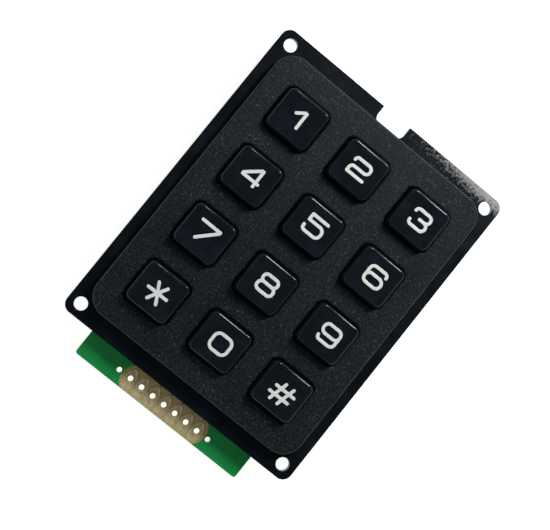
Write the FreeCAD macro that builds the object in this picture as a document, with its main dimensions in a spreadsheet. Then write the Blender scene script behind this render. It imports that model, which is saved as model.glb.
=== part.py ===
import FreeCAD, Part
import math
import os

import Sketcher
from FreeCAD import Vector

# A 3 by 4 matrix keypad module. Origin: centre of the four fixing holes, on the flange's front face.
# +X right, +Y towards the row 1 2 3, +Z out of the panel towards the user. Millimetres.

doc = FreeCAD.newDocument("keypad")

sizes = {
    # key grid
    "key_width": 9.0,
    "key_length": 8.5,
    "key_gap_across": 5.0,
    "key_gap_along": 4.5,
    # front housing, outwards from the grid: plateau, then flange
    "side_margin": 4.6,
    "end_margin": 5.05,
    "flange_side": 2.4,
    "flange_end": 3.2,
    "flange_thickness": 1.5,
    "flange_corner": 1.8,
    "hole_inset": 2.5,
    "hole_diameter": 2.5,
    "plateau_height": 2.5,
    "plateau_corner": 4.0,
    "plateau_rounding": 0.4,
    "wall": 1.5,
    "rim_rounding": 0.45,
    "notch_width": 6.2,
    "notch_corner": 1.5,
    "rib_thickness": 1.2,
    "rib_corner": 0.1,
    "rib_clearance": 0.2,
    # key caps
    "key_corner": 1.2,
    "key_draft_across": 0.15,
    "key_draft_along": 0.15,
    "key_height": 2.5,
    "key_rounding": 0.5,
    "key_dish": 0.3,
    "key_clearance": 0.2,
    "key_roof": 1.4,
    "key_wall": 1.3,
    "hollow_corner": 0.5,
    "lip_overlap": 0.7,
    "lip_thickness": 0.9,
    "rest_clearance": 0.05,
    "plunger_diameter": 3.2,
    "travel": 1.2,
    # legends, moulded into the caps
    "stroke": 0.6,
    "legend_depth": 0.8,
    # stack behind the keys, measured down from the flange's front face
    "mask_face": 3.4,
    "mask_thickness": 0.06,
    "mask_clearance": 0.05,
    "copper_thickness": 0.035,
    "carbon_thickness": 0.04,
    "board_thickness": 1.14,
    # silicone mat and pills
    "sheet_thickness": 0.6,
    "sheet_margin": 0.2,
    "sheet_corner": 1.0,
    "dome_diameter": 8.0,
    "dome_foot": 0.9,
    "dome_top_diameter": 4.0,
    "dome_wall": 0.5,
    "dome_crown": 0.9,
    "pill_diameter": 3.0,
    "pill_thickness": 0.6,
    "contact_gap": 0.02,
    # contact combs
    "comb_width": 4.8,
    "comb_spine": 0.5,
    "comb_finger": 0.3,
    "comb_gap": 0.3,
    "comb_tip_gap": 0.4,
    "comb_margin": 0.7,
    # board outline and header
    "board_clearance": 0.4,
    "tail_extension": 5.0,
    "tail_margin": 0.85,
    "tail_corner": 0.5,
    "header_pitch": 2.54,
    "header_hole": 1.0,
    "plating": 0.03,
    "pad_gap": 0.39,
    "pad_length": 4.3,
    "pad_margin": 0.3,
    "back_pad": 2.0,
    "window_margin": 0.8,
    "window_end": 0.775,
    # tracks
    "track_width": 0.5,
    "track_gap": 0.2,
    "track_bend": 0.6,
    "track_level": 1.2,
    "track_lead": 1.0,
    "gather_inset": 2.6,
    "via_diameter": 0.6,
    # heat-stake posts, moulded with the housing and riveted over behind the board
    "boss_diameter": 2.8,
    "post_inset_side": 1.12,
    "post_inset_end": 1.26,
    "post_diameter": 1.6,
    "post_clearance": 0.15,
    "rivet_diameter": 2.9,
    "rivet_height": 0.5,
    "rivet_rounding": 0.4,
}
sheet = doc.addObject("Spreadsheet::Sheet", "sizes")
for row, (alias, size) in enumerate(sizes.items(), start=1):
    sheet.set("A%d" % row, alias)
    sheet.set("B%d" % row, str(size))
    sheet.setAlias("B%d" % row, alias)
doc.recompute()

# sizes that follow from the sheet's, as expressions of it
columnPitch = "(sizes.key_width + sizes.key_gap_across)"
rowPitch = "(sizes.key_length + sizes.key_gap_along)"
plateauWidth = "(2 * %s + sizes.key_width + 2 * sizes.side_margin)" % columnPitch
plateauLength = "(3 * %s + sizes.key_length + 2 * sizes.end_margin)" % rowPitch
flangeWidth = "(%s + 2 * sizes.flange_side)" % plateauWidth
flangeLength = "(%s + 2 * sizes.flange_end)" % plateauLength
keyTopWidth = "(sizes.key_width - 2 * sizes.key_draft_across)"
keyTopLength = "(sizes.key_length - 2 * sizes.key_draft_along)"
domeOpening = "(sizes.dome_diameter - 2 * sizes.dome_foot)"
viaShift = "(sizes.comb_width / 2 - sizes.comb_spine / 2)"
contactOpening = "(sizes.comb_width + 2 * sizes.comb_margin)"
trackPitch = "(sizes.track_width + sizes.track_gap)"
innerLane = "(%s + %s + sizes.track_width + sizes.track_gap / 2)" % (columnPitch, viaShift)
tailWidth = "(2 * (%s + %s + sizes.tail_margin))" % (innerLane, trackPitch)
tailReach = "(%s / 2 + sizes.tail_extension)" % flangeLength
headerLine = "(sizes.pad_length / 2 + sizes.pad_margin - %s)" % tailReach
padWidth = "(sizes.header_pitch - sizes.pad_gap)"

# planes of the stack
plateauTop = "sizes.plateau_height"
plateUnder = "(sizes.plateau_height - sizes.wall)"
keyTop = "(sizes.plateau_height + sizes.key_height)"
lipTop = "(sizes.plateau_height - sizes.wall - sizes.rest_clearance)"
maskTop = "(0 - sizes.mask_face)"
boardTop = "(0 - sizes.mask_face - sizes.mask_thickness)"
boardBottom = "(0 - sizes.mask_face - sizes.mask_thickness - sizes.board_thickness)"
backFace = "(0 - sizes.mask_face - 2 * sizes.mask_thickness - sizes.board_thickness)"
sheetTop = "(sizes.sheet_thickness - sizes.mask_face)"
contactTop = "(sizes.carbon_thickness - sizes.mask_face - sizes.mask_thickness)"
pillBottom = "(%s + sizes.travel + sizes.contact_gap)" % contactTop
pillTop = "(%s + sizes.pill_thickness)" % pillBottom
domeTop = "(%s + sizes.dome_crown)" % pillTop

keys = [
    ("1", -1, 1.5),
    ("2", 0, 1.5),
    ("3", 1, 1.5),
    ("4", -1, 0.5),
    ("5", 0, 0.5),
    ("6", 1, 0.5),
    ("7", -1, -0.5),
    ("8", 0, -0.5),
    ("9", 1, -0.5),
    ("star", -1, -1.5),
    ("0", 0, -1.5),
    ("hash", 1, -1.5),
]


# how far a cut through a plate runs on past it
cutThrough = 0.1


def value(expression):
    """Number that an expression of the sheet gives."""
    return float(sheet.evalExpression(expression.replace("sizes.", "")))


def bind(target, bindings):
    """Binds properties of an object to expressions of the sheet."""
    for name, expression in bindings.items():
        target.setExpression(name, expression)


def newBody(name):
    """Empty body, named as the piece it becomes."""
    body = doc.addObject("PartDesign::Body", name)
    body.Label = name
    return body


def originPlane(body, role):
    """One of a body's own origin planes."""
    return next(item for item in body.Origin.OriginFeatures if item.Role == role)


def newSketch(body, name, plane="XY_Plane", x="0", y="0", z="0"):
    """Sketch on one of the body's origin planes, shifted by expressions of the sheet."""
    sketch = body.newObject("Sketcher::SketchObject", name)
    sketch.AttachmentSupport = [(originPlane(body, plane), "")]
    sketch.MapMode = "FlatFace"
    bind(
        sketch,
        {
            ".AttachmentOffset.Base.x": x,
            ".AttachmentOffset.Base.y": y,
            ".AttachmentOffset.Base.z": z,
        },
    )
    return sketch


def drawRoundedRectangle(sketch, width, length, corner, x="0", y="0"):
    """Rectangle centred on (x, y): four lines, four tangent corner arcs."""
    middle = Vector(value(x), value(y), 0)
    halfX = value(width) / 2
    halfY = value(length) / 2
    radius = value(corner)
    inX = halfX - radius
    inY = halfY - radius
    ends = [
        (Vector(-inX, -halfY, 0), Vector(inX, -halfY, 0)),
        (Vector(halfX, -inY, 0), Vector(halfX, inY, 0)),
        (Vector(inX, halfY, 0), Vector(-inX, halfY, 0)),
        (Vector(-halfX, inY, 0), Vector(-halfX, -inY, 0)),
    ]
    centres = [Vector(inX, -inY, 0), Vector(inX, inY, 0), Vector(-inX, inY, 0), Vector(-inX, -inY, 0)]
    first = len(sketch.Geometry)
    for side in range(4):
        start, end = ends[side]
        sketch.addGeometry(Part.LineSegment(middle + start, middle + end), False)
        angle = (side - 1) * math.pi / 2
        circle = Part.Circle(middle + centres[side], Vector(0, 0, 1), radius)
        sketch.addGeometry(Part.ArcOfCircle(circle, angle, angle + math.pi / 2), False)
    for side in range(4):
        line = first + 2 * side
        following = first + (2 * side + 2) % 8
        sketch.addConstraint(Sketcher.Constraint("Tangent", line, 2, line + 1, 1))
        sketch.addConstraint(Sketcher.Constraint("Tangent", line + 1, 2, following, 1))
        if side > 0:
            sketch.addConstraint(Sketcher.Constraint("Equal", first + 1, line + 1))
    sketch.addConstraint(Sketcher.Constraint("Horizontal", first))
    held = {
        ("DistanceX", -1, 1, first + 1, 3): "%s + (%s) / 2 - (%s)" % (x, width, corner),
        ("DistanceY", -1, 1, first + 1, 3): "%s - (%s) / 2 + (%s)" % (y, length, corner),
        ("DistanceX", first + 6, 1, first + 2, 1): width,
        ("DistanceY", first, 1, first + 4, 1): length,
        ("Radius", first + 1): corner,
    }
    for terms, expression in held.items():
        index = sketch.addConstraint(Sketcher.Constraint(*terms, value(expression)))
        bind(sketch, {"Constraints[%d]" % index: expression})


def drawCircle(sketch, diameter, x="0", y="0"):
    """Circle whose centre is held by its distances from the sketch's origin."""
    centre = Vector(value(x), value(y), 0)
    circle = Part.Circle(centre, Vector(0, 0, 1), value(diameter) / 2)
    index = sketch.addGeometry(circle, False)
    across = sketch.addConstraint(Sketcher.Constraint("DistanceX", -1, 1, index, 3, centre.x))
    along = sketch.addConstraint(Sketcher.Constraint("DistanceY", -1, 1, index, 3, centre.y))
    size = sketch.addConstraint(Sketcher.Constraint("Diameter", index, value(diameter)))
    bind(
        sketch,
        {
            "Constraints[%d]" % across: x,
            "Constraints[%d]" % along: y,
            "Constraints[%d]" % size: diameter,
        },
    )


def drawPolygon(sketch, points):
    """Closed outline of straight sides through (x, y) points."""
    corners = [Vector(x, y, 0) for x, y in points]
    for start, end in zip(corners, corners[1:] + corners[:1]):
        sketch.addGeometry(Part.LineSegment(start, end), False)


def centreline(points, closed):
    """Lines and tangent corner arcs along points (x, y) or (x, y, corner radius).

    A line is (start, end); an arc is (centre, radius, start angle, turn).
    """
    count = len(points)
    flat = [Vector(point[0], point[1], 0) for point in points]
    radii = [point[2] if len(point) > 2 else 0.0 for point in points]
    pieces = []
    entry = list(flat)
    leave = list(flat)
    arcs = [None] * count
    for index in range(0 if closed else 1, count if closed else count - 1):
        before = (flat[index] - flat[index - 1]).normalize()
        after = (flat[(index + 1) % count] - flat[index]).normalize()
        turn = math.atan2(before.cross(after).z, before.dot(after))
        reach = radii[index] * math.tan(abs(turn) / 2)
        side = math.copysign(1.0, turn)
        entry[index] = flat[index] - before * reach
        leave[index] = flat[index] + after * reach
        normal = Vector(-before.y, before.x, 0) * side
        centre = entry[index] + normal * radii[index]
        arcs[index] = (centre, radii[index], math.atan2(-normal.y, -normal.x), turn)
    for index in range(count if closed else count - 1):
        following = (index + 1) % count
        pieces.append((leave[index], entry[following]))
        if arcs[following]:
            pieces.append(arcs[following])
    return pieces


def drawOffset(sketch, pieces, distance):
    """Copy of a centreline, moved to its left by a distance (to its right if negative)."""
    for piece in pieces:
        if len(piece) == 2:
            start, end = piece
            along = (end - start).normalize()
            shift = Vector(-along.y, along.x, 0) * distance
            sketch.addGeometry(Part.LineSegment(start + shift, end + shift), False)
        else:
            centre, radius, angle, turn = piece
            offsetRadius = radius - math.copysign(distance, turn * distance)
            circle = Part.Circle(centre, Vector(0, 0, 1), offsetRadius)
            first = min(angle, angle + turn)
            sketch.addGeometry(Part.ArcOfCircle(circle, first, first + abs(turn)), False)


def drawStroke(sketch, points, width, closed=False):
    """Outline of a line of even width with round ends, or of a closed band."""
    pieces = centreline(points, closed)
    half = width / 2
    drawOffset(sketch, pieces, half)
    drawOffset(sketch, pieces, -half)
    if closed:
        return
    for centre, inner in ((pieces[0][0], pieces[0][1]), (pieces[-1][1], pieces[-1][0])):
        outward = centre - inner
        angle = math.atan2(outward.y, outward.x)
        circle = Part.Circle(centre, Vector(0, 0, 1), half)
        sketch.addGeometry(Part.ArcOfCircle(circle, angle - math.pi / 2, angle + math.pi / 2), False)


def addPad(body, sketch, length, downwards=False):
    """Adds material above the sketch, or below it."""
    pad = body.newObject("PartDesign::Pad", "%s_pad" % sketch.Name)
    pad.Profile = sketch
    pad.Reversed = downwards
    bind(pad, {"Length": length})
    sketch.Visibility = False
    doc.recompute()
    return pad


def addPocket(body, sketch, length, upwards=False):
    """Cuts down from the sketch, or up from it, and makes sure that something was cut."""
    before = body.Shape.Volume
    pocket = body.newObject("PartDesign::Pocket", "%s_pocket" % sketch.Name)
    pocket.Profile = sketch
    pocket.Reversed = upwards
    bind(pocket, {"Length": length})
    doc.recompute()
    if body.Shape.Volume >= before - 1e-6:
        raise RuntimeError("%s cut nothing" % pocket.Name)
    return pocket


def addFillet(body, name, radius, chosen):
    """Rounds the edges of the body's present shape for which chosen(edge) is true."""
    base = body.Tip
    edges = ["Edge%d" % (i + 1) for i, edge in enumerate(base.Shape.Edges) if chosen(edge)]
    if not edges:
        raise RuntimeError("%s found no edges" % name)
    fillet = body.newObject("PartDesign::Fillet", name)
    fillet.Base = (base, edges)
    bind(fillet, {"Radius": radius})
    doc.recompute()
    return fillet


def liesAt(edge, height):
    """True for an edge that lies wholly at one height."""
    box = edge.BoundBox
    return abs(box.ZMin - height) < 1e-4 and abs(box.ZMax - height) < 1e-4


def extrude(label, sketch, length):
    """Closed outlines of one sketch, each raised into a solid of its own."""
    solid = doc.addObject("Part::Extrusion", label)
    solid.Label = label
    solid.Base = sketch
    solid.DirMode = "Normal"
    solid.Solid = True
    bind(solid, {"LengthFwd": length})
    doc.recompute()
    return solid


def looseSketch(name, z):
    """Sketch that belongs to no body, level with the board at a height of the stack."""
    sketch = doc.addObject("Sketcher::SketchObject", name)
    bind(sketch, {".Placement.Base.z": z})
    return sketch


def keyPlace(column, line):
    """Expressions for the centre of a key in the grid."""
    return "(%g * %s)" % (column, columnPitch), "(%g * %s)" % (line, rowPitch)


def place(target, x, y):
    """Moves a finished piece to its place in the grid."""
    bind(target, {".Placement.Base.x": x, ".Placement.Base.y": y})


# posts stand in the gaps between the wells: beside the outer columns, above and below the grid
sidePost = "(%s / 2 - sizes.wall - sizes.post_inset_side)" % plateauWidth
endPost = "(%s / 2 - sizes.wall - sizes.post_inset_end)" % plateauLength
posts = []
for across in (-1, 1):
    for along in (-1, 1):
        posts.append(("(%d * %s)" % (across, sidePost), "(%d * %s)" % (along, rowPitch)))
        posts.append(("(%g * %s)" % (across / 2, columnPitch), "(%d * %s)" % (along, endPost)))


def drawAtPosts(sketch, diameter):
    """A circle at each heat-stake post."""
    for x, y in posts:
        drawCircle(sketch, diameter, x, y)


def buildHousing():
    """Flange and hollow plateau, with wells, guide ribs, skirt, notch, holes and riveted posts."""
    body = newBody("front_housing")
    block = newSketch(body, "plateau_outline", z=maskTop)
    drawRoundedRectangle(block, plateauWidth, plateauLength, "sizes.plateau_corner")
    addPad(body, block, "sizes.plateau_height + sizes.mask_face")
    flange = newSketch(body, "flange_outline", z="0 - sizes.flange_thickness")
    drawRoundedRectangle(flange, flangeWidth, flangeLength, "sizes.flange_corner")
    addPad(body, flange, "sizes.flange_thickness")

    cavity = newSketch(body, "cavity_outline", z=maskTop)
    drawRoundedRectangle(
        cavity,
        "%s - 2 * sizes.wall" % plateauWidth,
        "%s - 2 * sizes.wall" % plateauLength,
        "sizes.plateau_corner - sizes.wall",
    )
    addPocket(body, cavity, "sizes.mask_face + %s" % plateUnder, upwards=True)

    ribDepth = "sizes.mask_face - sizes.sheet_thickness - sizes.rib_clearance + %s" % plateUnder
    for number, column in enumerate((-0.5, 0.5)):
        rib = newSketch(body, "long_rib_%d" % number, x="%g * %s" % (column, columnPitch), z=plateUnder)
        length = "%s - sizes.wall" % plateauLength
        drawRoundedRectangle(rib, "sizes.rib_thickness", length, "sizes.rib_corner")
        addPad(body, rib, ribDepth, downwards=True)
    for number, line in enumerate((-1, 0, 1)):
        rib = newSketch(body, "cross_rib_%d" % number, y="%g * %s" % (line, rowPitch), z=plateUnder)
        width = "%s - sizes.wall" % plateauWidth
        drawRoundedRectangle(rib, width, "sizes.rib_thickness", "sizes.rib_corner")
        addPad(body, rib, ribDepth, downwards=True)

    wells = newSketch(body, "wells", z=plateauTop)
    for name, column, line in keys:
        drawRoundedRectangle(
            wells,
            "sizes.key_width + 2 * sizes.key_clearance",
            "sizes.key_length + 2 * sizes.key_clearance",
            "sizes.key_corner + sizes.key_clearance",
            *keyPlace(column, line),
        )
    addPocket(body, wells, "sizes.wall + %g" % cutThrough)

    bosses = newSketch(body, "bosses", z=plateUnder)
    drawAtPosts(bosses, "sizes.boss_diameter")
    addPad(body, bosses, "sizes.mask_face + %s" % plateUnder, downwards=True)
    shanks = newSketch(body, "post_shanks", z=maskTop)
    drawAtPosts(shanks, "sizes.post_diameter")
    addPad(body, shanks, "2 * sizes.mask_thickness + sizes.board_thickness", downwards=True)
    rivets = newSketch(body, "rivets", z=backFace)
    drawAtPosts(rivets, "sizes.rivet_diameter")
    addPad(body, rivets, "sizes.rivet_height", downwards=True)

    holes = newSketch(body, "fixing_holes")
    for across in (-1, 1):
        for along in (-1, 1):
            x = "%d * (%s / 2 - sizes.hole_inset)" % (across, flangeWidth)
            y = "%d * (%s / 2 - sizes.hole_inset)" % (along, flangeLength)
            drawCircle(holes, "sizes.hole_diameter", x, y)
    addPocket(body, holes, "sizes.flange_thickness + %g" % cutThrough)

    # the notch runs from the plateau's wall out past the flange's top edge
    notch = newSketch(body, "notch", y="%s / 2 + sizes.flange_end" % plateauLength)
    drawRoundedRectangle(notch, "sizes.notch_width", "2 * sizes.flange_end", "sizes.notch_corner")
    addPocket(body, notch, "sizes.flange_thickness + %g" % cutThrough)

    top = value(plateauTop)
    rimX = value("%s + sizes.key_width / 2 + sizes.side_margin / 2" % columnPitch)
    rimY = value("1.5 * %s + sizes.key_length / 2 + sizes.end_margin / 2" % rowPitch)

    def isRim(edge):
        box = edge.BoundBox
        return liesAt(edge, top) and max(abs(box.XMin), abs(box.XMax)) < rimX and abs(box.Center.y) < rimY

    def isBrow(edge):
        return liesAt(edge, top) and not isRim(edge)

    def isRivet(edge):
        return liesAt(edge, value(backFace) - value("sizes.rivet_height"))

    addFillet(body, "well_rims", "sizes.rim_rounding", isRim)
    addFillet(body, "plateau_edge", "sizes.plateau_rounding", isBrow)
    addFillet(body, "rivet_domes", "sizes.rivet_rounding", isRivet)
    return body


def buildKeyBlank():
    """Key cap before its legend is let in: drafted cap, stem, retaining lip, hollow and plunger."""
    body = newBody("key_blank")
    foot = newSketch(body, "cap_foot", z=plateauTop)
    drawRoundedRectangle(foot, "sizes.key_width", "sizes.key_length", "sizes.key_corner")
    crown = newSketch(body, "cap_crown", z=keyTop)
    drawRoundedRectangle(crown, keyTopWidth, keyTopLength, "sizes.key_corner")
    cap = body.newObject("PartDesign::AdditiveLoft", "cap")
    cap.Profile = foot
    cap.Sections = [crown]
    cap.Ruled = True
    doc.recompute()
    # the dish is spherical: its radius follows from its depth and the reach of the top's corners
    depth = value("sizes.key_dish")
    reach = math.hypot(value(keyTopWidth), value(keyTopLength)) / 2
    radius = (reach**2 + depth**2) / (2 * depth)
    dish = body.newObject("PartDesign::SubtractiveSphere", "dish")
    dish.AttachmentSupport = [(originPlane(body, "XY_Plane"), "")]
    dish.MapMode = "FlatFace"
    dish.Radius = radius
    bind(dish, {".AttachmentOffset.Base.z": "%s - sizes.key_dish + %.9g" % (keyTop, radius)})
    doc.recompute()
    sunk = value(keyTop) - depth
    addFillet(body, "cap_edge", "sizes.key_rounding", lambda edge: edge.BoundBox.ZMin > sunk)

    stem = newSketch(body, "stem", z=plateauTop)
    drawRoundedRectangle(stem, "sizes.key_width", "sizes.key_length", "sizes.key_corner")
    addPad(body, stem, "sizes.wall + sizes.rest_clearance", downwards=True)
    lip = newSketch(body, "lip", z=lipTop)
    drawRoundedRectangle(
        lip,
        "sizes.key_width + 2 * sizes.lip_overlap",
        "sizes.key_length + 2 * sizes.lip_overlap",
        "sizes.key_corner",
    )
    addPad(body, lip, "sizes.lip_thickness", downwards=True)
    hollow = newSketch(body, "hollow", z="%s - sizes.lip_thickness" % lipTop)
    drawRoundedRectangle(
        hollow,
        "%s - 2 * sizes.key_wall" % keyTopWidth,
        "%s - 2 * sizes.key_wall" % keyTopLength,
        "sizes.hollow_corner",
    )
    roof = "(%s - sizes.key_roof)" % keyTop
    addPocket(body, hollow, "%s - %s + sizes.lip_thickness" % (roof, lipTop), upwards=True)
    plunger = newSketch(body, "plunger", z=roof)
    drawCircle(plunger, "sizes.plunger_diameter")
    addPad(body, plunger, "%s - %s" % (roof, domeTop), downwards=True)
    return body


def turned(points, shift):
    """The same path turned half a turn about the key's centre, then moved across."""
    return [(shift - point[0], -point[1]) + tuple(point[2:]) for point in points]


# Legends: centrelines of even strokes about the key's centre, (x, y) or (x, y, corner radius).
# "bands" are closed, "lines" have round ends. 9 is 6 turned round.
sixBand = [(-1.57, 0.26, 0.9), (1.96, 0.26, 0.9), (1.96, -1.63, 0.9), (-1.57, -1.63, 0.9)]
sixLine = [(-1.57, -0.6), (-1.57, 1.71, 0.9), (1.9, 1.71, 0.6), (1.9, 1.05)]
nineShift = 0.5
glyphs = {
    "1": {"lines": [[(0.7, -1.5), (0.7, 1.6)], [(0.7, 1.6), (0.4, 1.6)], [(0.4, 1.6), (-0.95, 0.6)]]},
    "2": {
        "lines": [
            [(-1.7, 1.0), (-1.7, 1.62, 0.6), (1.86, 1.62, 0.8), (1.86, -0.03, 0.8), (0.0, -0.03)],
            [(0.0, -0.03), (-1.77, -0.03, 0.75), (-1.77, -1.4)],
            [(-1.77, -1.4), (1.7, -1.4)],
        ]
    },
    "3": {
        "lines": [
            [(-1.53, 0.95), (-1.53, 1.6, 0.6), (1.85, 1.6, 0.78), (1.85, 0.02, 0.78), (0.0, 0.02)],
            [(0.0, 0.02), (1.85, 0.02, 0.8), (1.85, -1.62, 0.8), (-1.5, -1.62, 0.6), (-1.5, -0.9)],
        ]
    },
    "4": {
        "lines": [
            [(1.2, -1.33), (1.2, 1.88)],
            [(1.2, 1.88), (0.9, 1.88)],
            [(0.9, 1.88), (-1.62, -0.3)],
            [(-1.62, -0.3), (-1.62, -0.55)],
            [(-1.62, -0.55), (1.72, -0.55)],
        ]
    },
    "5": {
        "lines": [
            [(-1.4, 1.8), (1.95, 1.8)],
            [(-1.4, 1.8), (-1.4, 0.65)],
            [(-1.4, 0.65), (1.95, 0.65, 0.95), (1.95, -1.45, 0.95), (-1.6, -1.45, 0.6), (-1.6, -0.6)],
        ]
    },
    "6": {"bands": [sixBand], "lines": [sixLine]},
    "7": {"lines": [[(-1.9, 1.8), (1.95, 1.8)], [(1.95, 1.8), (1.95, 1.62)], [(1.95, 1.62), (-1.1, -1.52)]]},
    "8": {
        "bands": [
            [(-1.42, 0.05, 0.7), (1.67, 0.05, 0.7), (1.67, 1.57, 0.7), (-1.42, 1.57, 0.7)],
            [(-1.57, 0.05, 0.8), (1.82, 0.05, 0.8), (1.82, -1.64, 0.8), (-1.57, -1.64, 0.8)],
        ]
    },
    "9": {"bands": [turned(sixBand, nineShift)], "lines": [turned(sixLine, nineShift)]},
    "0": {"bands": [[(-1.61, -1.86, 1.1), (1.98, -1.86, 1.1), (1.98, 1.36, 1.1), (-1.61, 1.36, 1.1)]]},
    "star": {
        "lines": [
            [(-2.0, -0.22), (2.0, -0.22)],
            [(-0.95, -1.95), (1.0, 1.5)],
            [(-0.95, 1.5), (1.0, -1.95)],
        ]
    },
    "hash": {
        "lines": [
            [(-1.6, 0.35), (2.35, 0.35)],
            [(-2.0, -1.1), (2.0, -1.1)],
            [(-1.15, -2.15), (-0.2, 1.45)],
            [(0.55, -2.15), (1.5, 1.45)],
        ]
    },
}


def buildGlyph(name):
    """Upright prism of a legend's strokes, from the bottom of the inlay to above the key's top."""
    body = newBody("glyph_%s" % name)
    width = value("sizes.stroke")
    shapes = glyphs[name]
    strokes = [(points, True) for points in shapes.get("bands", [])]
    strokes.extend((points, False) for points in shapes.get("lines", []))
    for number, (points, closed) in enumerate(strokes):
        sketch = newSketch(body, "glyph_%s_%d" % (name, number), z="%s - sizes.legend_depth" % keyTop)
        drawStroke(sketch, points, width, closed)
        addPad(body, sketch, "2 * sizes.legend_depth")
    return body


def buildKey(name, column, line, blank):
    """Key cap with the white legend let into its top: the two share one dished surface."""
    glyph = buildGlyph(name)
    x, y = keyPlace(column, line)
    cap = doc.addObject("Part::Cut", "keycap_%s" % name)
    legend = doc.addObject("Part::Common", "legend_%s" % name)
    for piece in (cap, legend):
        piece.Label = piece.Name
        piece.Base = blank
        piece.Tool = glyph
        place(piece, x, y)
    doc.recompute()
    return [cap, legend]


def buildDome(name, column, line):
    """Silicone dome: foot ring, conical skirt and a thick crown that the plunger rests on."""
    body = newBody("dome_%s" % name)
    sketch = newSketch(body, "dome_%s_profile" % name, "XZ_Plane")
    foot = value("sizes.dome_diameter") / 2
    top = value("sizes.dome_top_diameter") / 2
    opening = value(domeOpening) / 2
    skirt = value("sizes.dome_wall")
    base = value(sheetTop)
    crown = value(domeTop)
    ceiling = value(pillTop)
    drawPolygon(
        sketch,
        [
            (0, crown),
            (top, crown),
            (top, ceiling + skirt),
            (foot - skirt, base + skirt),
            (foot, base + skirt),
            (foot, base),
            (opening, base),
            (top - skirt / 2, ceiling),
            (0, ceiling),
        ],
    )
    revolution = body.newObject("PartDesign::Revolution", "dome_%s_turned" % name)
    revolution.Profile = sketch
    revolution.ReferenceAxis = (sketch, ["V_Axis"])
    revolution.Angle = 360
    place(body, *keyPlace(column, line))
    doc.recompute()
    return body


def buildPill(name, column, line):
    """Carbon pill, bonded under the dome's crown."""
    body = newBody("contact_pill_%s" % name)
    sketch = newSketch(body, "pill_%s" % name, z=pillBottom)
    drawCircle(sketch, "sizes.pill_diameter")
    addPad(body, sketch, "sizes.pill_thickness")
    place(body, *keyPlace(column, line))
    return body


def buildSheet():
    """Web of the silicone mat: it lies on the board inside the posts, open under each dome."""
    body = newBody("silicone_sheet")
    outline = newSketch(body, "web_outline", z=maskTop)
    width = "2 * (%s - sizes.boss_diameter / 2 - sizes.sheet_margin)" % sidePost
    length = "2 * (%s - sizes.boss_diameter / 2 - sizes.sheet_margin)" % endPost
    drawRoundedRectangle(outline, width, length, "sizes.sheet_corner")
    addPad(body, outline, "sizes.sheet_thickness")
    openings = newSketch(body, "web_openings", z=sheetTop)
    for name, column, line in keys:
        drawCircle(openings, domeOpening, *keyPlace(column, line))
    addPocket(body, openings, "sizes.sheet_thickness + %g" % cutThrough)
    return body


boardWidth = "(%s - 2 * sizes.board_clearance)" % plateauWidth
boardLength = "(%s - 2 * sizes.board_clearance)" % plateauLength


def padBoardOutline(body, z, thickness):
    """Board outline: a full-width area behind the housing and a narrower tail with the header."""
    main = newSketch(body, "%s_main" % body.Name, z=z)
    drawRoundedRectangle(main, boardWidth, boardLength, "sizes.plateau_corner - sizes.board_clearance")
    addPad(body, main, thickness)
    # the tail starts inside the main area by more than its own corners
    start = "(%s / 2 - 4 * sizes.tail_corner)" % boardLength
    middle = "0 - (%s + %s) / 2" % (tailReach, start)
    tail = newSketch(body, "%s_tail" % body.Name, y=middle, z=z)
    drawRoundedRectangle(tail, tailWidth, "%s - %s" % (tailReach, start), "sizes.tail_corner")
    addPad(body, tail, thickness)


def drawHeader(sketch, diameter, places):
    """Row of circles on the header's line, at whole numbers of pitches from its middle."""
    for number in places:
        drawCircle(sketch, diameter, "%d * sizes.header_pitch" % number, headerLine)


headerPlaces = range(-3, 4)
endPlaces = (-4, 4)
postHole = "sizes.post_diameter + 2 * sizes.post_clearance"


def drawVias(sketch, diameter):
    """Circles under the row side of each contact pair."""
    for name, column, line in keys:
        x, y = keyPlace(column, line)
        drawCircle(sketch, diameter, "%s - %s" % (x, viaShift), y)


def buildBoard():
    """Bare laminate with the header, end, via and post holes."""
    body = newBody("circuit_board")
    padBoardOutline(body, boardBottom, "sizes.board_thickness")
    depth = "sizes.board_thickness + %g" % cutThrough
    plated = newSketch(body, "plated_holes", z=boardTop)
    drawHeader(plated, "sizes.header_hole + 2 * sizes.plating", headerPlaces)
    addPocket(body, plated, depth)
    plain = newSketch(body, "plain_holes", z=boardTop)
    drawHeader(plain, "sizes.header_hole", endPlaces)
    addPocket(body, plain, depth)
    vias = newSketch(body, "via_holes", z=boardTop)
    drawVias(vias, "sizes.via_diameter")
    addPocket(body, vias, depth)
    clearance = newSketch(body, "post_holes", z=boardTop)
    drawAtPosts(clearance, postHole)
    addPocket(body, clearance, depth)
    return body


def cutBy(label, body, tool):
    """Lacquer without the room of the copper that it covers."""
    result = doc.addObject("Part::Cut", label)
    result.Label = label
    result.Base = body
    result.Tool = tool
    doc.recompute()
    return result


def buildFrontMask(tracks):
    """Green lacquer on the front, open over the contacts and round the header."""
    body = newBody("front_lacquer")
    padBoardOutline(body, boardTop, "sizes.mask_thickness")
    depth = "sizes.mask_thickness + %g" % cutThrough
    clearance = newSketch(body, "front_post_openings", z=maskTop)
    drawAtPosts(clearance, postHole)
    addPocket(body, clearance, depth)
    contacts = newSketch(body, "contact_openings", z=maskTop)
    for name, column, line in keys:
        drawCircle(contacts, contactOpening, *keyPlace(column, line))
    addPocket(body, contacts, depth)
    window = newSketch(body, "header_window", y=headerLine, z=maskTop)
    width = "6 * sizes.header_pitch + %s + 2 * sizes.window_end" % padWidth
    length = "sizes.pad_length + 2 * sizes.window_margin"
    drawRoundedRectangle(window, width, length, "sizes.pad_length / 2 + sizes.window_margin - 0.01")
    addPocket(body, window, depth)
    ends = newSketch(body, "front_end_openings", z=maskTop)
    drawHeader(ends, "sizes.header_hole + 2 * sizes.mask_clearance", endPlaces)
    addPocket(body, ends, depth)
    return cutBy("solder_mask_front", body, tracks)


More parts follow.
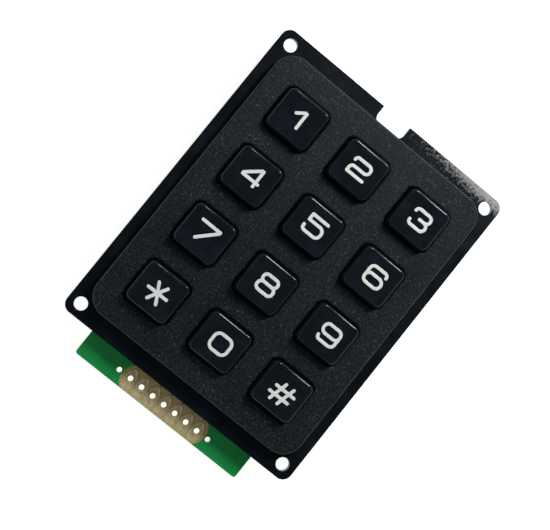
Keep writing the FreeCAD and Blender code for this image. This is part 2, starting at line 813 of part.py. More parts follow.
def buildBackMask(tracks):
    """Green lacquer on the back, open round each solder land."""
    body = newBody("back_lacquer")
    padBoardOutline(body, backFace, "sizes.mask_thickness")
    depth = "sizes.mask_thickness + %g" % cutThrough
    clearance = newSketch(body, "back_post_openings", z=boardBottom)
    drawAtPosts(clearance, postHole)
    addPocket(body, clearance, depth)
    lands = newSketch(body, "land_openings", z=boardBottom)
    drawHeader(lands, "sizes.back_pad + 2 * sizes.mask_clearance", headerPlaces)
    addPocket(body, lands, depth)
    ends = newSketch(body, "back_end_openings", z=boardBottom)
    drawHeader(ends, "sizes.header_hole + 2 * sizes.mask_clearance", endPlaces)
    addPocket(body, ends, depth)
    return cutBy("solder_mask_back", body, tracks)


def buildHeaderPads():
    """Seven plated holes: a long front pad, a barrel through the board and a round back land."""
    pitch = value("sizes.header_pitch")
    line = value(headerLine)
    front = value(padWidth)
    straight = (value("sizes.pad_length") - front) / 2
    pads = looseSketch("front_pads", boardTop)
    barrels = looseSketch("barrels", boardBottom)
    lands = looseSketch("back_lands", "%s - sizes.copper_thickness" % boardBottom)
    for number in headerPlaces:
        across = number * pitch
        drawStroke(pads, [(across, line - straight), (across, line + straight)], front)
    for sketch, diameter in (
        (pads, "sizes.header_hole"),
        (barrels, "sizes.header_hole + 2 * sizes.plating"),
        (barrels, "sizes.header_hole"),
        (lands, "sizes.back_pad"),
        (lands, "sizes.header_hole"),
    ):
        drawHeader(sketch, diameter, headerPlaces)
    joined = doc.addObject("Part::MultiFuse", "header_pads")
    joined.Label = "header_pads"
    joined.Shapes = [
        extrude("front_pad_copper", pads, "sizes.copper_thickness"),
        extrude("barrel_copper", barrels, "sizes.board_thickness"),
        extrude("back_land_copper", lands, "sizes.copper_thickness"),
    ]
    joined.Refine = True
    doc.recompute()
    return joined


def combOutline(x, y, side):
    """One half of an interdigitated contact: a spine with two or three fingers."""
    edge = value("sizes.comb_width") / 2
    inner = edge - value("sizes.comb_spine")
    tip = value("sizes.comb_tip_gap") - inner
    finger = value("sizes.comb_finger")
    pitch = finger + value("sizes.comb_gap")
    reach = 2 * pitch + finger / 2
    centres = (pitch, -pitch) if side < 0 else (2 * pitch, 0.0, -2 * pitch)
    outline = [(edge, reach)]
    if side < 0:
        outline.append((inner, reach))
    for centre in centres:
        outline.extend([(inner, centre + finger / 2), (tip, centre + finger / 2)])
        outline.extend([(tip, centre - finger / 2), (inner, centre - finger / 2)])
    if side < 0:
        outline.append((inner, -reach))
    outline.append((edge, -reach))
    return [(x + side * px, y + py) for px, py in outline]


def buildContacts():
    """Twelve pairs of carbon combs on the board, under the pills."""
    sketch = looseSketch("combs", boardTop)
    for name, column, line in keys:
        x = column * value(columnPitch)
        y = line * value(rowPitch)
        for side in (-1, 1):
            drawPolygon(sketch, combOutline(x, y, side))
    return extrude("switch_contacts", sketch, "sizes.carbon_thickness")


def buildVias():
    """Copper barrels that take each row contact through to the tracks on the back."""
    sketch = looseSketch("via_barrels", boardBottom)
    drawVias(sketch, "sizes.via_diameter")
    return extrude("plated_vias", sketch, "sizes.board_thickness")


def buildColumnTracks():
    """Front copper: each column's track passes its contacts and ends at a header pad."""
    sketch = looseSketch("column_track_outlines", boardTop)
    width = value("sizes.track_width")
    bend = value("sizes.track_bend")
    top = 1.5 * value(rowPitch)
    padTop = value(headerLine) + value("sizes.pad_length") / 2 + width / 2
    lead = padTop + value("sizes.track_lead")
    gather = value("sizes.gather_inset") - value(plateauLength) / 2
    for column in (-1, 0, 1):
        x = column * value(columnPitch) + value("sizes.comb_width") / 2 + width / 2
        pad = column * value("sizes.header_pitch")
        drawStroke(sketch, [(x, top), (x, gather, bend), (pad, lead, bend), (pad, padTop)], width)
    return extrude("column_tracks", sketch, "sizes.copper_thickness")


def buildRowTracks():
    """Back copper: each row's track crosses under its contacts and turns down to a header pad."""
    sketch = looseSketch("row_track_outlines", "%s - sizes.copper_thickness" % boardBottom)
    width = value("sizes.track_width")
    bend = value("sizes.track_bend")
    columns = value(columnPitch)
    shift = value(viaShift)
    padTop = value(headerLine) + value("sizes.back_pad") / 2 + width / 2
    # row, side that its track leaves by, header place, and how many lanes in from the outer one
    routes = ((1.5, -1, 3, 0), (0.5, -1, 2, 1), (-0.5, 1, 3, 0), (-1.5, 1, 2, 1))
    for line, side, number, lane in routes:
        y = line * value(rowPitch)
        far = -side * columns - shift
        outer = side * (value(innerLane) + (1 - lane) * value(trackPitch))
        level = padTop + (1 + lane) * value("sizes.track_level")
        pad = side * number * value("sizes.header_pitch")
        points = [(far, y), (outer, y, bend), (outer, level, bend), (pad, level, bend), (pad, padTop)]
        drawStroke(sketch, points, width)
    return extrude("row_tracks", sketch, "sizes.copper_thickness")


pieces = [buildHousing()]
blank = buildKeyBlank()
for key in keys:
    pieces.extend(buildKey(*key, blank))
    pieces.append(buildDome(*key))
    pieces.append(buildPill(*key))
columnTracks = buildColumnTracks()
rowTracks = buildRowTracks()
pieces.extend([buildSheet(), buildBoard(), buildFrontMask(columnTracks), buildBackMask(rowTracks)])
pieces.extend([buildHeaderPads(), buildContacts(), buildVias(), columnTracks, rowTracks])
doc.recompute()

failed = [item.Name for item in doc.Objects if "Invalid" in item.State or "Error" in item.State]
if failed:
    raise RuntimeError("failed: %s" % failed)
for piece in pieces:
    if piece.Shape.isNull() or not piece.Shape.isValid() or not piece.Shape.Solids:
        raise RuntimeError("bad shape: %s" % piece.Label)

os.makedirs("parts", exist_ok=True)
for piece in pieces:
    piece.Shape.exportStep("parts/%s.step" % piece.Label)
print("%d pieces, %d solids" % (len(pieces), sum(len(piece.Shape.Solids) for piece in pieces)))
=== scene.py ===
import math

import bmesh
import bpy
import numpy as np
from mathutils import Matrix, Vector


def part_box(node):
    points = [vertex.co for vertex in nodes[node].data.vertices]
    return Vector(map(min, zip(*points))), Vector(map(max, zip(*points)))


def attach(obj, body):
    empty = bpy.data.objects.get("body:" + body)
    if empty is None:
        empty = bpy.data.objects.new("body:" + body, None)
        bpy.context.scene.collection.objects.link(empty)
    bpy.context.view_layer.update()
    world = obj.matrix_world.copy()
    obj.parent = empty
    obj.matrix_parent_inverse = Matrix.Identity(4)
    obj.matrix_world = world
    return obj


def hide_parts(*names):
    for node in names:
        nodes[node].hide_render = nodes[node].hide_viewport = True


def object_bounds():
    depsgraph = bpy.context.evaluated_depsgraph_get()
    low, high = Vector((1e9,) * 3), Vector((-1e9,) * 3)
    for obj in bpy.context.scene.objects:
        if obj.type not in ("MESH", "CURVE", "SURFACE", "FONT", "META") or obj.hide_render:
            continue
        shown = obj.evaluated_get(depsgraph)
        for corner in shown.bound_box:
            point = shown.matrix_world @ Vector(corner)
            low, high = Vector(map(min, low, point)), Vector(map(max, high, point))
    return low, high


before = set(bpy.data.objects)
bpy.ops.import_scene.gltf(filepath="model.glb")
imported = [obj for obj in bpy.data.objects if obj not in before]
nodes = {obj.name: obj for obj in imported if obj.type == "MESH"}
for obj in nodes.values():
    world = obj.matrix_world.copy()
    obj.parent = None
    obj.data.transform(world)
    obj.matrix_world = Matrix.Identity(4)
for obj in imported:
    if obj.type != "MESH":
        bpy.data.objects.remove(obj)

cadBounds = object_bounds()
mm = 0.001
keyNames = [name[len("keycap_"):] for name in sorted(nodes) if name.startswith("keycap_")]
print("frame loaded:", len(nodes), "nodes,", len(keyNames), "keys")


# sRGB hex to linear: below 0.04045 divide by 12.92, above it ((c + 0.055) / 1.055) ^ 2.4
def linear(code):
    channels = [int(code[place:place + 2], 16) / 255 for place in (1, 3, 5)]
    values = [c / 12.92 if c <= 0.04045 else ((c + 0.055) / 1.055) ** 2.4 for c in channels]
    return (values[0], values[1], values[2], 1.0)


# adds a node; settings are sockets or properties by name, links are sockets to feed
def addNode(tree, kind, settings=None, links=None):
    node = tree.nodes.new(kind)
    for name, setting in (settings or {}).items():
        if isinstance(name, int) or name in node.inputs:
            node.inputs[name].default_value = setting
        else:
            setattr(node, name, setting)
    for name, source in (links or {}).items():
        tree.links.new(source, node.inputs[name])
    return node


def newMaterial(name):
    material = bpy.data.materials.new(name)
    material.use_nodes = True
    tree = material.node_tree
    tree.nodes.clear()
    return material, tree


def finishMaterial(tree, shader):
    addNode(tree, "ShaderNodeOutputMaterial", links={"Surface": shader.outputs[0]})


# mesh from a grid of points (rows, columns, 3); a wrapped axis joins its last line to its first,
# and a capped end is closed with one point in its middle
def gridPiece(name, points, wrapRows=False, wrapColumns=False, capStart=False, capEnd=False):
    rows, columns = points.shape[:2]
    place = np.arange(rows * columns).reshape(rows, columns)
    if wrapRows:
        place = np.concatenate([place, place[:1]], axis=0)
    if wrapColumns:
        place = np.concatenate([place, place[:, :1]], axis=1)
    corners = [place[:-1, :-1], place[:-1, 1:], place[1:, 1:], place[1:, :-1]]
    quads = np.stack(corners, axis=-1).reshape(-1, 4)
    vertices = points.reshape(-1, 3)
    faces = [tuple(quad) for quad in quads.tolist()]
    for capped, line, turned in ((capStart, place[0], True), (capEnd, place[-1], False)):
        if capped:
            middle = len(vertices)
            vertices = np.concatenate([vertices, vertices[line].mean(axis=0)[None]])
            ends = zip(line[:-1].tolist(), line[1:].tolist())
            faces.extend((middle, b, a) if turned else (middle, a, b) for a, b in ends)
    mesh = bpy.data.meshes.new(name)
    mesh.from_pydata(vertices.tolist(), [], faces)
    return pieceFromMesh(name, mesh)


# welds doubles, turns faces outwards, smooth shading below an angle
def pieceFromMesh(name, mesh, angle=40.0, weld=1e-7):
    work = bmesh.new()
    work.from_mesh(mesh)
    bmesh.ops.remove_doubles(work, verts=work.verts, dist=weld)
    bmesh.ops.dissolve_degenerate(work, edges=work.edges, dist=1e-8)
    bmesh.ops.recalc_face_normals(work, faces=work.faces)
    for face in work.faces:
        face.smooth = True
    limit = math.radians(angle)
    for edge in work.edges:
        edge.smooth = edge.is_manifold and edge.calc_face_angle(0.0) < limit
    work.to_mesh(mesh)
    work.free()
    piece = bpy.data.objects.new(name, mesh)
    bpy.context.scene.collection.objects.link(piece)
    return piece


def paint(piece, material):
    piece.data.materials.clear()
    piece.data.materials.append(material)


# noise of a given grain in mm, read in the piece's own place
def grain(tree, place, size, detail=3.0, rough=0.55):
    return addNode(
        tree,
        "ShaderNodeTexNoise",
        {"Scale": 1.0 / (size * mm), "Detail": detail, "Roughness": rough},
        {"Vector": place},
    )


# value of a texture taken from one range to another
def remap(tree, source, low, high, toLow, toHigh):
    settings = {"From Min": low, "From Max": high, "To Min": toLow}
    links = {"Value": source}
    if isinstance(toHigh, bpy.types.NodeSocket):
        links["To Max"] = toHigh
    else:
        settings["To Max"] = toHigh
    return addNode(tree, "ShaderNodeMapRange", settings, links).outputs["Result"]


times = {"operation": "MULTIPLY"}


def blendColour(tree, amount, first, second):
    mix = addNode(tree, "ShaderNodeMix", {"data_type": "RGBA"}, {0: amount})
    for slot, colour in ((6, first), (7, second)):
        if isinstance(colour, str):
            mix.inputs[slot].default_value = linear(colour)
        else:
            tree.links.new(colour, mix.inputs[slot])
    return mix.outputs[2]


housingFinish = {
    "plateau": "#091014",
    "plateauLight": "#262f34",
    # grey of the painted sparkle: glints of the grain's gloss painted into the colour
    "paintedSparkle": "#5f676b",
    "flange": "#0c1319",
    "flangeLight": "#161f27",
    # pale colour of a painted glint: a lamp's reflection on the flange's top strip
    "paintedGlint": "#c8c8c4",
    "grainSize": 0.42,  # mm; a spark-eroded grain is about 0.1, drawn coarser so that it shows
    "grainDepth": 0.035,  # mm
    "plateauRoughness": 0.46,
    "flangeRoughness": 0.27,
    "paintedGlintFrom": (1.0, 28.9),  # mm; the flange's top strip carries a painted glint from here towards +X and +Y
    "paintedGlintTo": (23.0, 31.6),
}


# share of the painted glint: pale speckles, a lamp's reflection painted into the colour, that thicken along
# the flange's top strip
def paintedGlintShare(tree, place):
    parts = addNode(tree, "ShaderNodeSeparateXYZ", links={"Vector": place})
    start, end = housingFinish["paintedGlintFrom"], housingFinish["paintedGlintTo"]
    along = remap(tree, parts.outputs["X"], start[0] * mm, end[0] * mm, 0.0, 1.0)
    across = remap(tree, parts.outputs["Y"], start[1] * mm, end[1] * mm, 0.0, 1.0)
    reach = addNode(tree, "ShaderNodeMath", times, {0: along, 1: across}).outputs[0]
    speckle = grain(tree, place, 0.55, 5.0, 0.7).outputs["Fac"]
    settings = {"operation": "MULTIPLY_ADD", 1: 0.42}
    weighting = addNode(tree, "ShaderNodeMath", settings, {0: reach, 2: speckle})
    front = remap(tree, parts.outputs["Z"], -0.5 * mm, -0.1 * mm, 0.0, 1.0)
    inside = remap(tree, reach, 0.02, 0.1, 0.0, front)
    share = remap(tree, weighting.outputs[0], 0.62, 0.86, 0.0, 0.85)
    return addNode(tree, "ShaderNodeMath", times, {0: share, 1: inside}).outputs[0]


# Moulded ABS, black: the plateau has a spark-eroded grain, which spreads its gloss into a grey sparkle,
# here painted into its colour as grey speckles, and the flange below it came off a polished steel, so it is
# darker and shinier; a painted glint lies on its top strip.
def mouldedAbs():
    look = housingFinish
    material, tree = newMaterial("mouldedAbsBlack")
    place = addNode(tree, "ShaderNodeTexCoord").outputs["Object"]
    height = addNode(tree, "ShaderNodeSeparateXYZ", links={"Vector": place}).outputs["Z"]
    raised = remap(tree, height, 0.2 * mm, 1.4 * mm, 0.0, 1.0)
    fine = grain(tree, place, look["grainSize"], 4.0, 0.65)
    broad = grain(tree, place, 7.0, 3.0)
    mottle = remap(tree, fine.outputs["Fac"], 0.42, 0.62, 0.0, 1.0)
    weighting = remap(tree, broad.outputs["Fac"], 0.3, 0.7, 0.6, 1.0)
    mottle = addNode(tree, "ShaderNodeMath", times, {0: mottle, 1: weighting}).outputs[0]
    # painted sparkle: grey speckles in the colour stand in for the grain's glints
    spots = grain(tree, place, 0.8 * look["grainSize"], 2.0)
    paintedSparkle = remap(tree, spots.outputs["Fac"], 0.62, 0.74, 0.0, 1.0)
    paintedSparkle = addNode(tree, "ShaderNodeMath", times, {0: paintedSparkle, 1: weighting}).outputs[0]
    colour = blendColour(tree, mottle, look["plateau"], look["plateauLight"])
    colour = blendColour(tree, paintedSparkle, colour, look["paintedSparkle"])
    dull = remap(tree, broad.outputs["Fac"], 0.45, 0.75, 0.0, 1.0)
    low = blendColour(tree, dull, look["flange"], look["flangeLight"])
    # painted glint: pale speckles on the flange's top strip stand in for a lamp's reflection
    low = blendColour(tree, paintedGlintShare(tree, place), low, look["paintedGlint"])
    colour = blendColour(tree, raised, low, colour)
    roughness = addNode(
        tree,
        "ShaderNodeMix",
        {"data_type": "FLOAT", 2: look["flangeRoughness"], 3: look["plateauRoughness"]},
        {0: raised},
    ).outputs[0]
    patchy = remap(tree, broad.outputs["Fac"], 0.3, 0.7, -0.05, 0.05)
    roughness = addNode(
        tree, "ShaderNodeMath", {"operation": "ADD"}, {0: roughness, 1: patchy}
    ).outputs[0]
    depth = remap(tree, raised, 0.0, 1.0, 0.25, 1.0)
    heightMap = addNode(tree, "ShaderNodeMath", times, {0: fine.outputs["Fac"], 1: depth}).outputs[0]
    relief = {"Strength": 1.0, "Distance": look["grainDepth"] * mm}
    bump = addNode(tree, "ShaderNodeBump", relief, {"Height": heightMap})
    shader = addNode(
        tree,
        "ShaderNodeBsdfPrincipled",
        {"IOR": 1.53, "Specular IOR Level": 0.21},
        {"Base Color": colour, "Roughness": roughness, "Normal": bump.outputs["Normal"]},
    )
    finishMaterial(tree, shader)
    return material


capFinish = {
    "body": "#12191e",
    "handledAndSheen": "#192127",
    "roughness": 0.09,
    "handledRoughness": 0.15,
}


# Moulded ABS from a polished cavity, black: the key tops are glossy, a little duller where fingers have
# touched them, and there painted a lighter blue as a painted bluish reflection, with a faint orange peel
# that softens the edge of each reflection.
def glossAbs():
    look = capFinish
    material, tree = newMaterial("polishedAbsBlack")
    place = addNode(tree, "ShaderNodeTexCoord").outputs["Object"]
    touchedAndSheen = remap(tree, grain(tree, place, 3.2, 3.0).outputs["Fac"], 0.42, 0.66, 0.0, 1.0)
    # patches of a lighter blue: a painted bluish reflection, where the higher roughness is real handling
    colour = blendColour(tree, touchedAndSheen, look["body"], look["handledAndSheen"])
    roughness = remap(tree, touchedAndSheen, 0.0, 1.0, look["roughness"], look["handledRoughness"])
    peel = grain(tree, place, 0.8, 2.0)
    relief = {"Strength": 0.35, "Distance": 0.004 * mm}
    bump = addNode(tree, "ShaderNodeBump", relief, {"Height": peel.outputs["Fac"]})
    shader = addNode(
        tree,
        "ShaderNodeBsdfPrincipled",
        {"IOR": 1.53, "Specular IOR Level": 0.26},
        {"Base Color": colour, "Roughness": roughness, "Normal": bump.outputs["Normal"]},
    )
    finishMaterial(tree, shader)
    return material


# Moulded ABS, white, the second shot of the key: almost neutral, with a faint grime in places.
def whiteAbs():
    material, tree = newMaterial("secondShotAbsWhite")
    place = addNode(tree, "ShaderNodeTexCoord").outputs["Object"]
    grime = remap(tree, grain(tree, place, 1.3, 4.0).outputs["Fac"], 0.5, 0.75, 0.0, 0.5)
    colour = blendColour(tree, grime, "#fbfdf8", "#e6e8e2")
    relief = {"Strength": 0.3, "Distance": 0.004 * mm}
    bump = addNode(tree, "ShaderNodeBump", relief, {"Height": grain(tree, place, 0.5, 2.0).outputs["Fac"]})
    shader = addNode(
        tree,
        "ShaderNodeBsdfPrincipled",
        {"IOR": 1.53, "Roughness": 0.42},
        {"Base Color": colour, "Normal": bump.outputs["Normal"]},
    )
    finishMaterial(tree, shader)
    return material


clothPitch = 0.5  # mm between the glass yarns of the laminate


# check of a plain weave: sin x * sin y, one half wave to each yarn, taken from -1..1 to 0..1
def weave(tree, place, pitch):
    wave = addNode(
        tree,
        "ShaderNodeVectorMath",
        {"operation": "SCALE", "Scale": math.pi / (pitch * mm)},
        {0: place},
    ).outputs[0]
    parts = addNode(tree, "ShaderNodeSeparateXYZ", links={"Vector": wave})
    along = addNode(tree, "ShaderNodeMath", {"operation": "SINE"}, {0: parts.outputs["X"]}).outputs[0]
    across = addNode(tree, "ShaderNodeMath", {"operation": "SINE"}, {0: parts.outputs["Y"]}).outputs[0]
    product = addNode(tree, "ShaderNodeMath", times, {0: along, 1: across}).outputs[0]
    return remap(tree, product, -1.0, 1.0, 0.0, 1.0)


# Bare glass-epoxy laminate: tan resin over woven glass, so a faint check of darker resin between
# the yarns, and a satin rather than a glossy face.
def bareLaminate():
    material, tree = newMaterial("glassEpoxyLaminate")
    place = addNode(tree, "ShaderNodeTexCoord").outputs["Object"]
    cloth = weave(tree, place, clothPitch)
    blotch = remap(tree, grain(tree, place, 2.4, 3.0).outputs["Fac"], 0.35, 0.7, 0.0, 1.0)
    colour = blendColour(tree, cloth, "#c2ad6e", "#d9c585")
    colour = blendColour(tree, remap(tree, blotch, 0.0, 1.0, 0.0, 0.6), colour, "#c6b07c")
    relief = {"Strength": 0.5, "Distance": 0.01 * mm}
    bump = addNode(tree, "ShaderNodeBump", relief, {"Height": cloth})
    shader = addNode(
        tree,
        "ShaderNodeBsdfPrincipled",
        {"IOR": 1.55, "Roughness": 0.5},
        {"Base Color": colour, "Normal": bump.outputs["Normal"]},
    )
    finishMaterial(tree, shader)
    return material


# Green solder lacquer, screened on wet: glossy, a little darker where it pooled, and the glass
# cloth below it shows as a very faint check.
def solderLacquer(name="solderLacquerGreen", light="#22b158", dark="#189a4a"):
    material, tree = newMaterial(name)
    place = addNode(tree, "ShaderNodeTexCoord").outputs["Object"]
    cloth = weave(tree, place, clothPitch)
    pooled = remap(tree, grain(tree, place, 5.0, 3.0).outputs["Fac"], 0.35, 0.68, 0.0, 1.0)
    colour = blendColour(tree, pooled, light, dark)
    colour = blendColour(tree, remap(tree, cloth, 0.0, 1.0, 0.0, 0.22), colour, dark)
    relief = {"Strength": 0.25, "Distance": 0.006 * mm}
    bump = addNode(tree, "ShaderNodeBump", relief, {"Height": cloth})
    shader = addNode(
        tree,
        "ShaderNodeBsdfPrincipled",
        {"IOR": 1.5, "Roughness": 0.32, "Coat Weight": 0.25, "Coat Roughness": 0.12},
        {"Base Color": colour, "Normal": bump.outputs["Normal"]},
    )
    finishMaterial(tree, shader)
    return material


# Copper under a clear organic finish, aged: light tan on the pads, with a painted highlight on raised
# edges.
def agedCopper(name="agedPadCopper", body="#ead6a8", paintedEdgeHighlight="#fff1cf", dark="#c2ad81", metallic=0.1):
    material, tree = newMaterial(name)
    place = addNode(tree, "ShaderNodeTexCoord").outputs["Object"]
    stain = remap(tree, grain(tree, place, 0.9, 4.0).outputs["Fac"], 0.4, 0.7, 0.0, 1.0)
    colour = blendColour(tree, stain, body, dark)
    pointed = addNode(tree, "ShaderNodeNewGeometry").outputs["Pointiness"]
    # painted highlight: raised edges, found by pointiness, are blended towards a brighter colour
    colour = blendColour(tree, remap(tree, pointed, 0.52, 0.6, 0.0, 0.9), colour, paintedEdgeHighlight)
    roughness = remap(tree, stain, 0.0, 1.0, 0.36, 0.55)
    relief = {"Strength": 0.4, "Distance": 0.006 * mm}
    bump = addNode(tree, "ShaderNodeBump", relief, {"Height": grain(tree, place, 0.35, 3.0).outputs["Fac"]})
    shader = addNode(
        tree,
        "ShaderNodeBsdfPrincipled",
        {"Metallic": metallic},
        {"Base Color": colour, "Roughness": roughness, "Normal": bump.outputs["Normal"]},
    )
    finishMaterial(tree, shader)
    return material


# Silicone rubber, grey and slightly milky: soft, wide highlights and a dusty surface.
def milkySilicone():
    material, tree = newMaterial("siliconeGrey")
    place = addNode(tree, "ShaderNodeTexCoord").outputs["Object"]
    dust = remap(tree, grain(tree, place, 0.7, 4.0).outputs["Fac"], 0.45, 0.75, 0.0, 1.0)
    colour = blendColour(tree, dust, "#9a9c9e", "#b4b5b4")
    shader = addNode(
        tree,
        "ShaderNodeBsdfPrincipled",
        {"IOR": 1.41, "Roughness": 0.55, "Subsurface Weight": 0.1, "Subsurface Scale": 0.001},
        {"Base Color": colour},
    )
    finishMaterial(tree, shader)
    return material


# Printed carbon ink and moulded carbon pills: deep black, dull, with a fine tooth.
def carbonInk():
    material, tree = newMaterial("carbonInk")
    place = addNode(tree, "ShaderNodeTexCoord").outputs["Object"]
    tooth = grain(tree, place, 0.2, 3.0)
    colour = blendColour(tree, tooth.outputs["Fac"], "#141414", "#262626")
    relief = {"Strength": 0.5, "Distance": 0.01 * mm}
    bump = addNode(tree, "ShaderNodeBump", relief, {"Height": tooth.outputs["Fac"]})
    shader = addNode(
        tree,
        "ShaderNodeBsdfPrincipled",
        {"Roughness": 0.7},
        {"Base Color": colour, "Normal": bump.outputs["Normal"]},
    )
    finishMaterial(tree, shader)
    return material


# Pale studio floor: matt, almost white, with a trace of unevenness, and glowing like a light table.
def paleFloor():
    material, tree = newMaterial("paleFloorPaint")
    place = addNode(tree, "ShaderNodeTexCoord").outputs["Object"]
    cloud = remap(tree, grain(tree, place, 60.0, 2.0).outputs["Fac"], 0.3, 0.7, 0.0, 1.0)
    colour = blendColour(tree, cloud, "#fbfbfa", "#f7f7f6")
    settings = {
        "Roughness": 0.8,
        "Emission Strength": studio["floorGlow"],
        "Emission Color": linear("#ffffff"),
    }
    shader = addNode(tree, "ShaderNodeBsdfPrincipled", settings, {"Base Color": colour})
    finishMaterial(tree, shader)
    return material


blackAbs = mouldedAbs()
keyAbs = glossAbs()
legendAbs = whiteAbs()
laminate = bareLaminate()
lacquer = solderLacquer()
lacquerOverCopper = solderLacquer("solderLacquerOverCopper", "#30c26c", "#26ad5e")
padCopper = agedCopper()
# third colour: the painted highlight on the tracks' raised edges
trackCopper = agedCopper("trackCopper", "#b87348", "#d99a6c", "#8c5232", 0.9)
silicone = milkySilicone()
carbon = carbonInk()
print("materials made:", len(bpy.data.materials))


view = {
    "position": (-30.87, -20.73, 263.26),  # mm, almost straight above the keys
    "aim": (-0.53, -2.66, 0.0),
    "upwards": (-0.62793, 0.77804, -0.01898),  # the way that leads up in the picture
    "lens": 97.42,  # mm, on a 36 mm wide sensor
}


# the camera looks along its own -Z with +Y up: its columns are right, up and backwards
def placeCamera():
    camera = bpy.data.objects.new("camera", bpy.data.cameras.new("camera"))
    bpy.context.scene.collection.objects.link(camera)
    position = Vector(view["position"]) * mm
    backwards = (position - Vector(view["aim"]) * mm).normalized()
    right = Vector(view["upwards"]).cross(backwards).normalized()
    up = backwards.cross(right)
    turn = Matrix((right, up, backwards)).transposed()
    camera.matrix_world = Matrix.Translation(position) @ turn.to_4x4()
    camera.data.lens = view["lens"]
    camera.data.sensor_width = 36.0
    camera.data.clip_start = 0.005
    camera.data.clip_end = 20.0
    bpy.context.scene.camera = camera
    return camera


placeCamera()


# the CAD shell, welded so that its roundings shade smoothly; large flat faces keep their normals
def buildHousing():
    mesh = nodes["front_housing"].data.copy()
    piece = pieceFromMesh("housingShell", mesh, angle=42.0, weld=2e-6)
    modifier = piece.modifiers.new("flatFacesFirst", "WEIGHTED_NORMAL")
    modifier.mode = "FACE_AREA"
    modifier.weight = 60
    modifier.keep_sharp = True
    paint(piece, blackAbs)
    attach(piece, "module")
    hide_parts("front_housing")
    return piece


buildHousing()
print("housing made")


cap = {
    "footWidth": 9.0,
    "footLength": 8.5,
    "topWidth": 8.7,
    "topLength": 8.2,
    "corner": 1.2,
    "rounding": 0.5,
    "dish": 0.3,
    "plateau": 2.5,
    "lipTop": 0.95,
    "lipOverlap": 0.7,
    "lipThickness": 0.9,
    "hollowWidth": 6.1,
    "hollowLength": 5.6,
    "hollowCorner": 0.5,
    "roof": 3.6,
    "crease": 0.05,  # width of the small steps that keep an inner edge sharp
    "lipRounding": 0.08,
    "plungerRadius": 1.6,
    "plungerRounding": 0.2,
    "plungerRoot": 0.2,  # how far it runs into the roof
    "plungerGap": 0.02,  # to the dome's top, so that the two never share a face
    "cornerSteps": 10,
    "sideSteps": 8,
}


# unit directions round a rounded rectangle: for each corner the sign of its centre and the arc's
# direction; a ring is centre * (half - radius) + direction * radius, with straight sides between
def ringDirections(cornerSteps, sideSteps):
    signs = np.array([(1, -1), (1, 1), (-1, 1), (-1, -1)], float)
    angles = np.linspace(-math.pi / 2, 0, cornerSteps)
    centres, arcs = [], []
    for corner in range(4):
        turn = angles + corner * math.pi / 2
        centres.append(np.repeat(signs[corner][None], cornerSteps, axis=0))
        arcs.append(np.stack([np.cos(turn), np.sin(turn)], axis=1))
        part = np.linspace(0, 1, sideSteps + 2)[1:-1, None]
        following = signs[(corner + 1) % 4]
        centres.append(signs[corner] * (1 - part) + following * part)
        arcs.append(np.repeat(np.array([[np.cos(turn[-1]), np.sin(turn[-1])]]), sideSteps, axis=0))
    return np.concatenate(centres), np.concatenate(arcs)


# rings (count, points, 2): half sizes and corner radius of each ring, in mm
def roundedRings(halfX, halfY, radius):
    centres, arcs = ringDirections(cap["cornerSteps"], cap["sideSteps"])
    inner = np.stack([halfX - radius, halfY - radius], axis=-1)[:, None, :]
    return centres[None] * inner + arcs[None] * radius[:, None, None]


# height of the dished top: a sphere that sinks by dish in the middle and meets the top's corners
def dishHeight(x, y):
    reach = math.hypot(cap["topWidth"], cap["topLength"]) / 2
    radius = (reach**2 + cap["dish"] ** 2) / (2 * cap["dish"])
    top = cap["plateau"] + keyHeight
    return top - cap["dish"] + radius - np.sqrt(radius**2 - x**2 - y**2)


